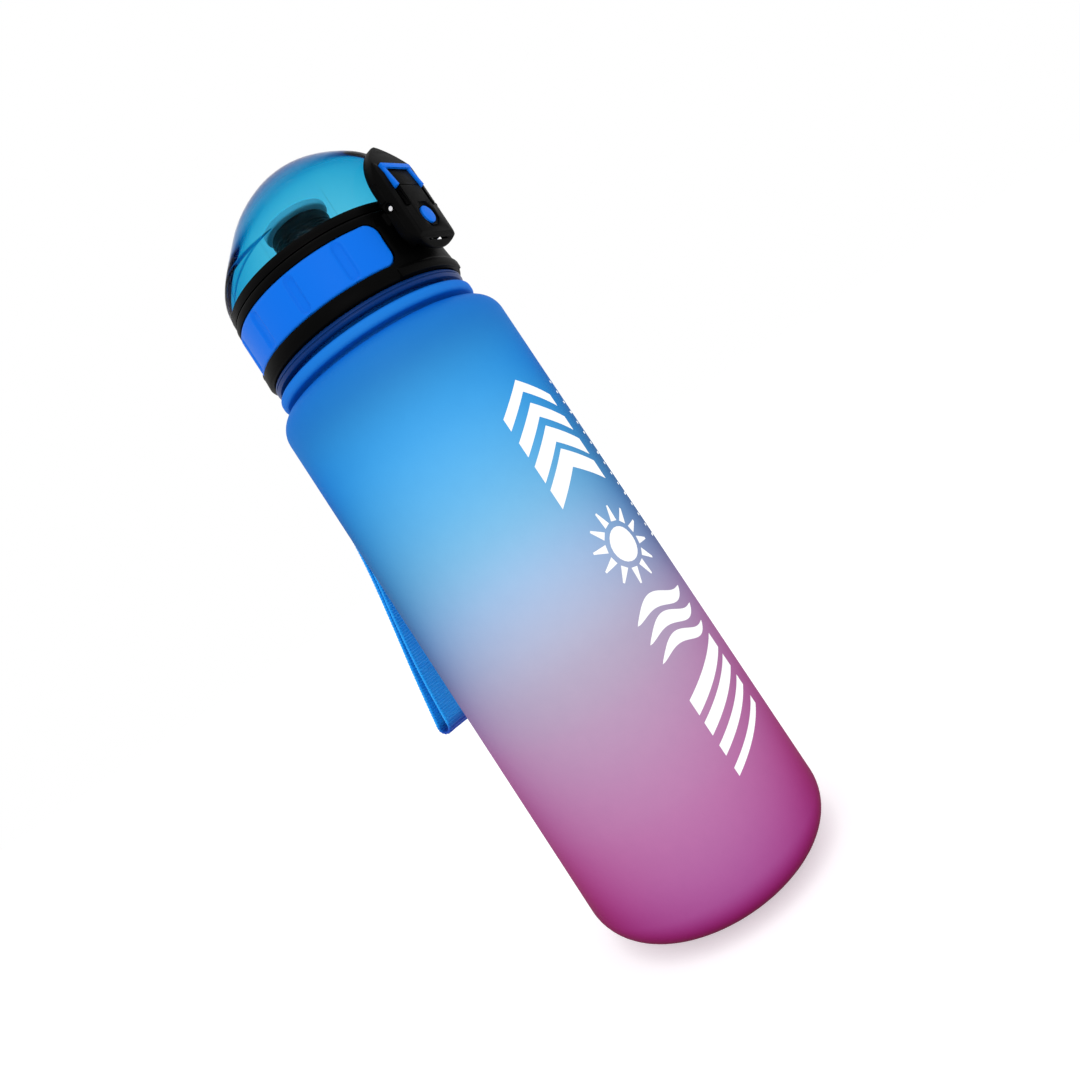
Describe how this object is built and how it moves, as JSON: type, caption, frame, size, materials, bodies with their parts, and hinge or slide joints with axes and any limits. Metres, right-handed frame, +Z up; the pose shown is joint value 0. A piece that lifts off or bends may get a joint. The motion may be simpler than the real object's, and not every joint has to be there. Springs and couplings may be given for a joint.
{
  "type": "sports bottle",
  "caption": "Tall frosted drinking bottle with a screw cap, clear domed flip lid, rocker latch with a sliding lock, and a webbing carry loop.",
  "frame": {"origin": "centre of the base, on the surface that the bottle stands on", "axes": "+Z up the axis of the bottle, -Y towards the lid latch, +Y towards the lid hinge and the carry loop"},
  "size_m": [0.065, 0.0856, 0.208],
  "materials": {
    "frosted_shell": "frosted translucent copolyester, blue fading to magenta",
    "blue_cap": "semi-gloss moulded plastic",
    "black_cap": "satin moulded plastic",
    "silicone": "soft silicone",
    "black_spout": "satin moulded plastic",
    "pin_steel": "bright",
    "clear_blue": "clear tinted plastic",
    "webbing": "woven nylon webbing"
  },
  "bodies": {
    "bottle": {"bottle_body": "frosted_shell"},
    "seal": {"cap_gasket": "silicone"},
    "cap": {"cap_base": "blue_cap", "cap_collar": "black_cap", "spout": "black_spout", "spout_ring": "silicone", "vent_valve": "silicone", "hinge_pin": "pin_steel", "lid_spring": "pin_steel", "latch_pin": "pin_steel", "latch_spring": "pin_steel"},
    "lid": {"dome_lid": "clear_blue", "seal_plug": "silicone"},
    "latch": {"latch_lever": "black_cap", "press_badge": "blue_cap"},
    "lock": {"lock_slider": "blue_cap"},
    "strap": {"strap": "webbing"}
  },
  "joints": [
    {"name": "cap_lift", "type": "slide", "parent": "bottle", "child": "seal", "axis": [0, 0, 1], "range_m": [0, 0.016]},
    {"name": "cap_turn", "type": "hinge", "parent": "seal", "child": "cap", "pos_m": [0, 0, 0.17], "axis": [0, 0, 1], "range_deg": [0, 1440]},
    {"name": "lid_open", "type": "hinge", "parent": "cap", "child": "lid", "pos_m": [0, 0.0284, 0.1829], "axis": [-1, 0, 0], "range_deg": [0, 150], "deforming": ["lid_spring"]},
    {"name": "latch_press", "type": "hinge", "parent": "cap", "child": "latch", "pos_m": [0, -0.0314, 0.1774], "axis": [1, 0, 0], "range_deg": [0, 9], "stiffness_Nm_per_rad": 0.25, "springref_deg": -5.73, "deforming": ["latch_spring"]},
    {"name": "lock_slide", "type": "slide", "parent": "latch", "child": "lock", "axis": [0, -0.1392, -0.9903], "range_m": [0, 0.005]},
    {"name": "strap_swing", "type": "hinge", "parent": "cap", "child": "strap", "pos_m": [0, 0.0296, 0.171], "axis": [1, 0, 0], "range_deg": [0, 75]}
  ],
  "couplings": [
    {"joint": "cap_lift", "follows": "cap_turn", "m_per_rad": 0.00063662}
  ]
}
